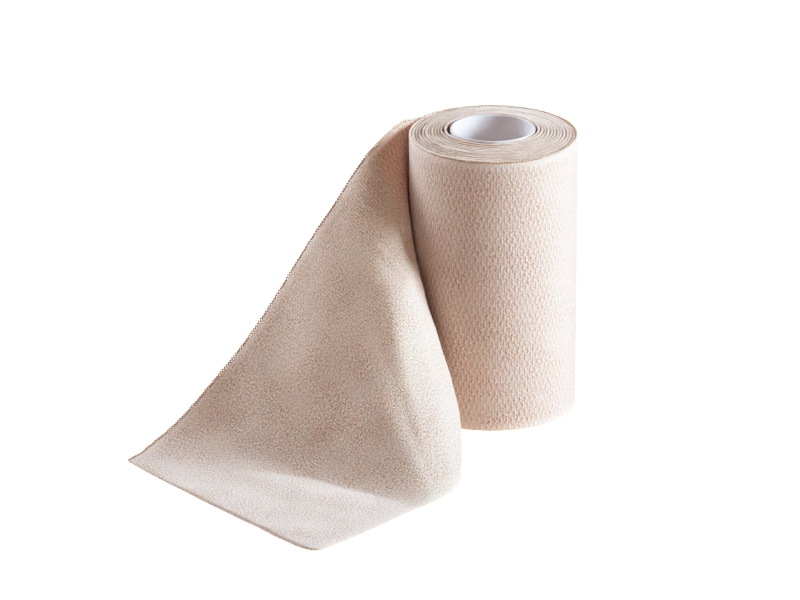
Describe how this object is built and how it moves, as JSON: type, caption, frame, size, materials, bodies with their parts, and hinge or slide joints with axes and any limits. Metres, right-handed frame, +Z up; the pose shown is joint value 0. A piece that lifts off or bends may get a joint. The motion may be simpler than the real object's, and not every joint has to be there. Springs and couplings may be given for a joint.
{
  "type": "cohesive bandage roll",
  "caption": "Self-adhering crepe compression bandage wound on a plastic tube, with its loose end pulled out, folded over a soft ridge and lying flat.",
  "frame": {"origin": "middle of the part's box on the plane that it stands on", "axes": "+Z up along the roll's axis, -Y towards the viewer, the loose end towards -X and -Y"},
  "size_m": [0.1558, 0.1684, 0.1021],
  "materials": {
    "crepe": "matt crepe weave",
    "tube": "smooth satin"
  },
  "bodies": {
    "root": {"bandage": "crepe", "core": "tube"}
  },
  "joints": []
}
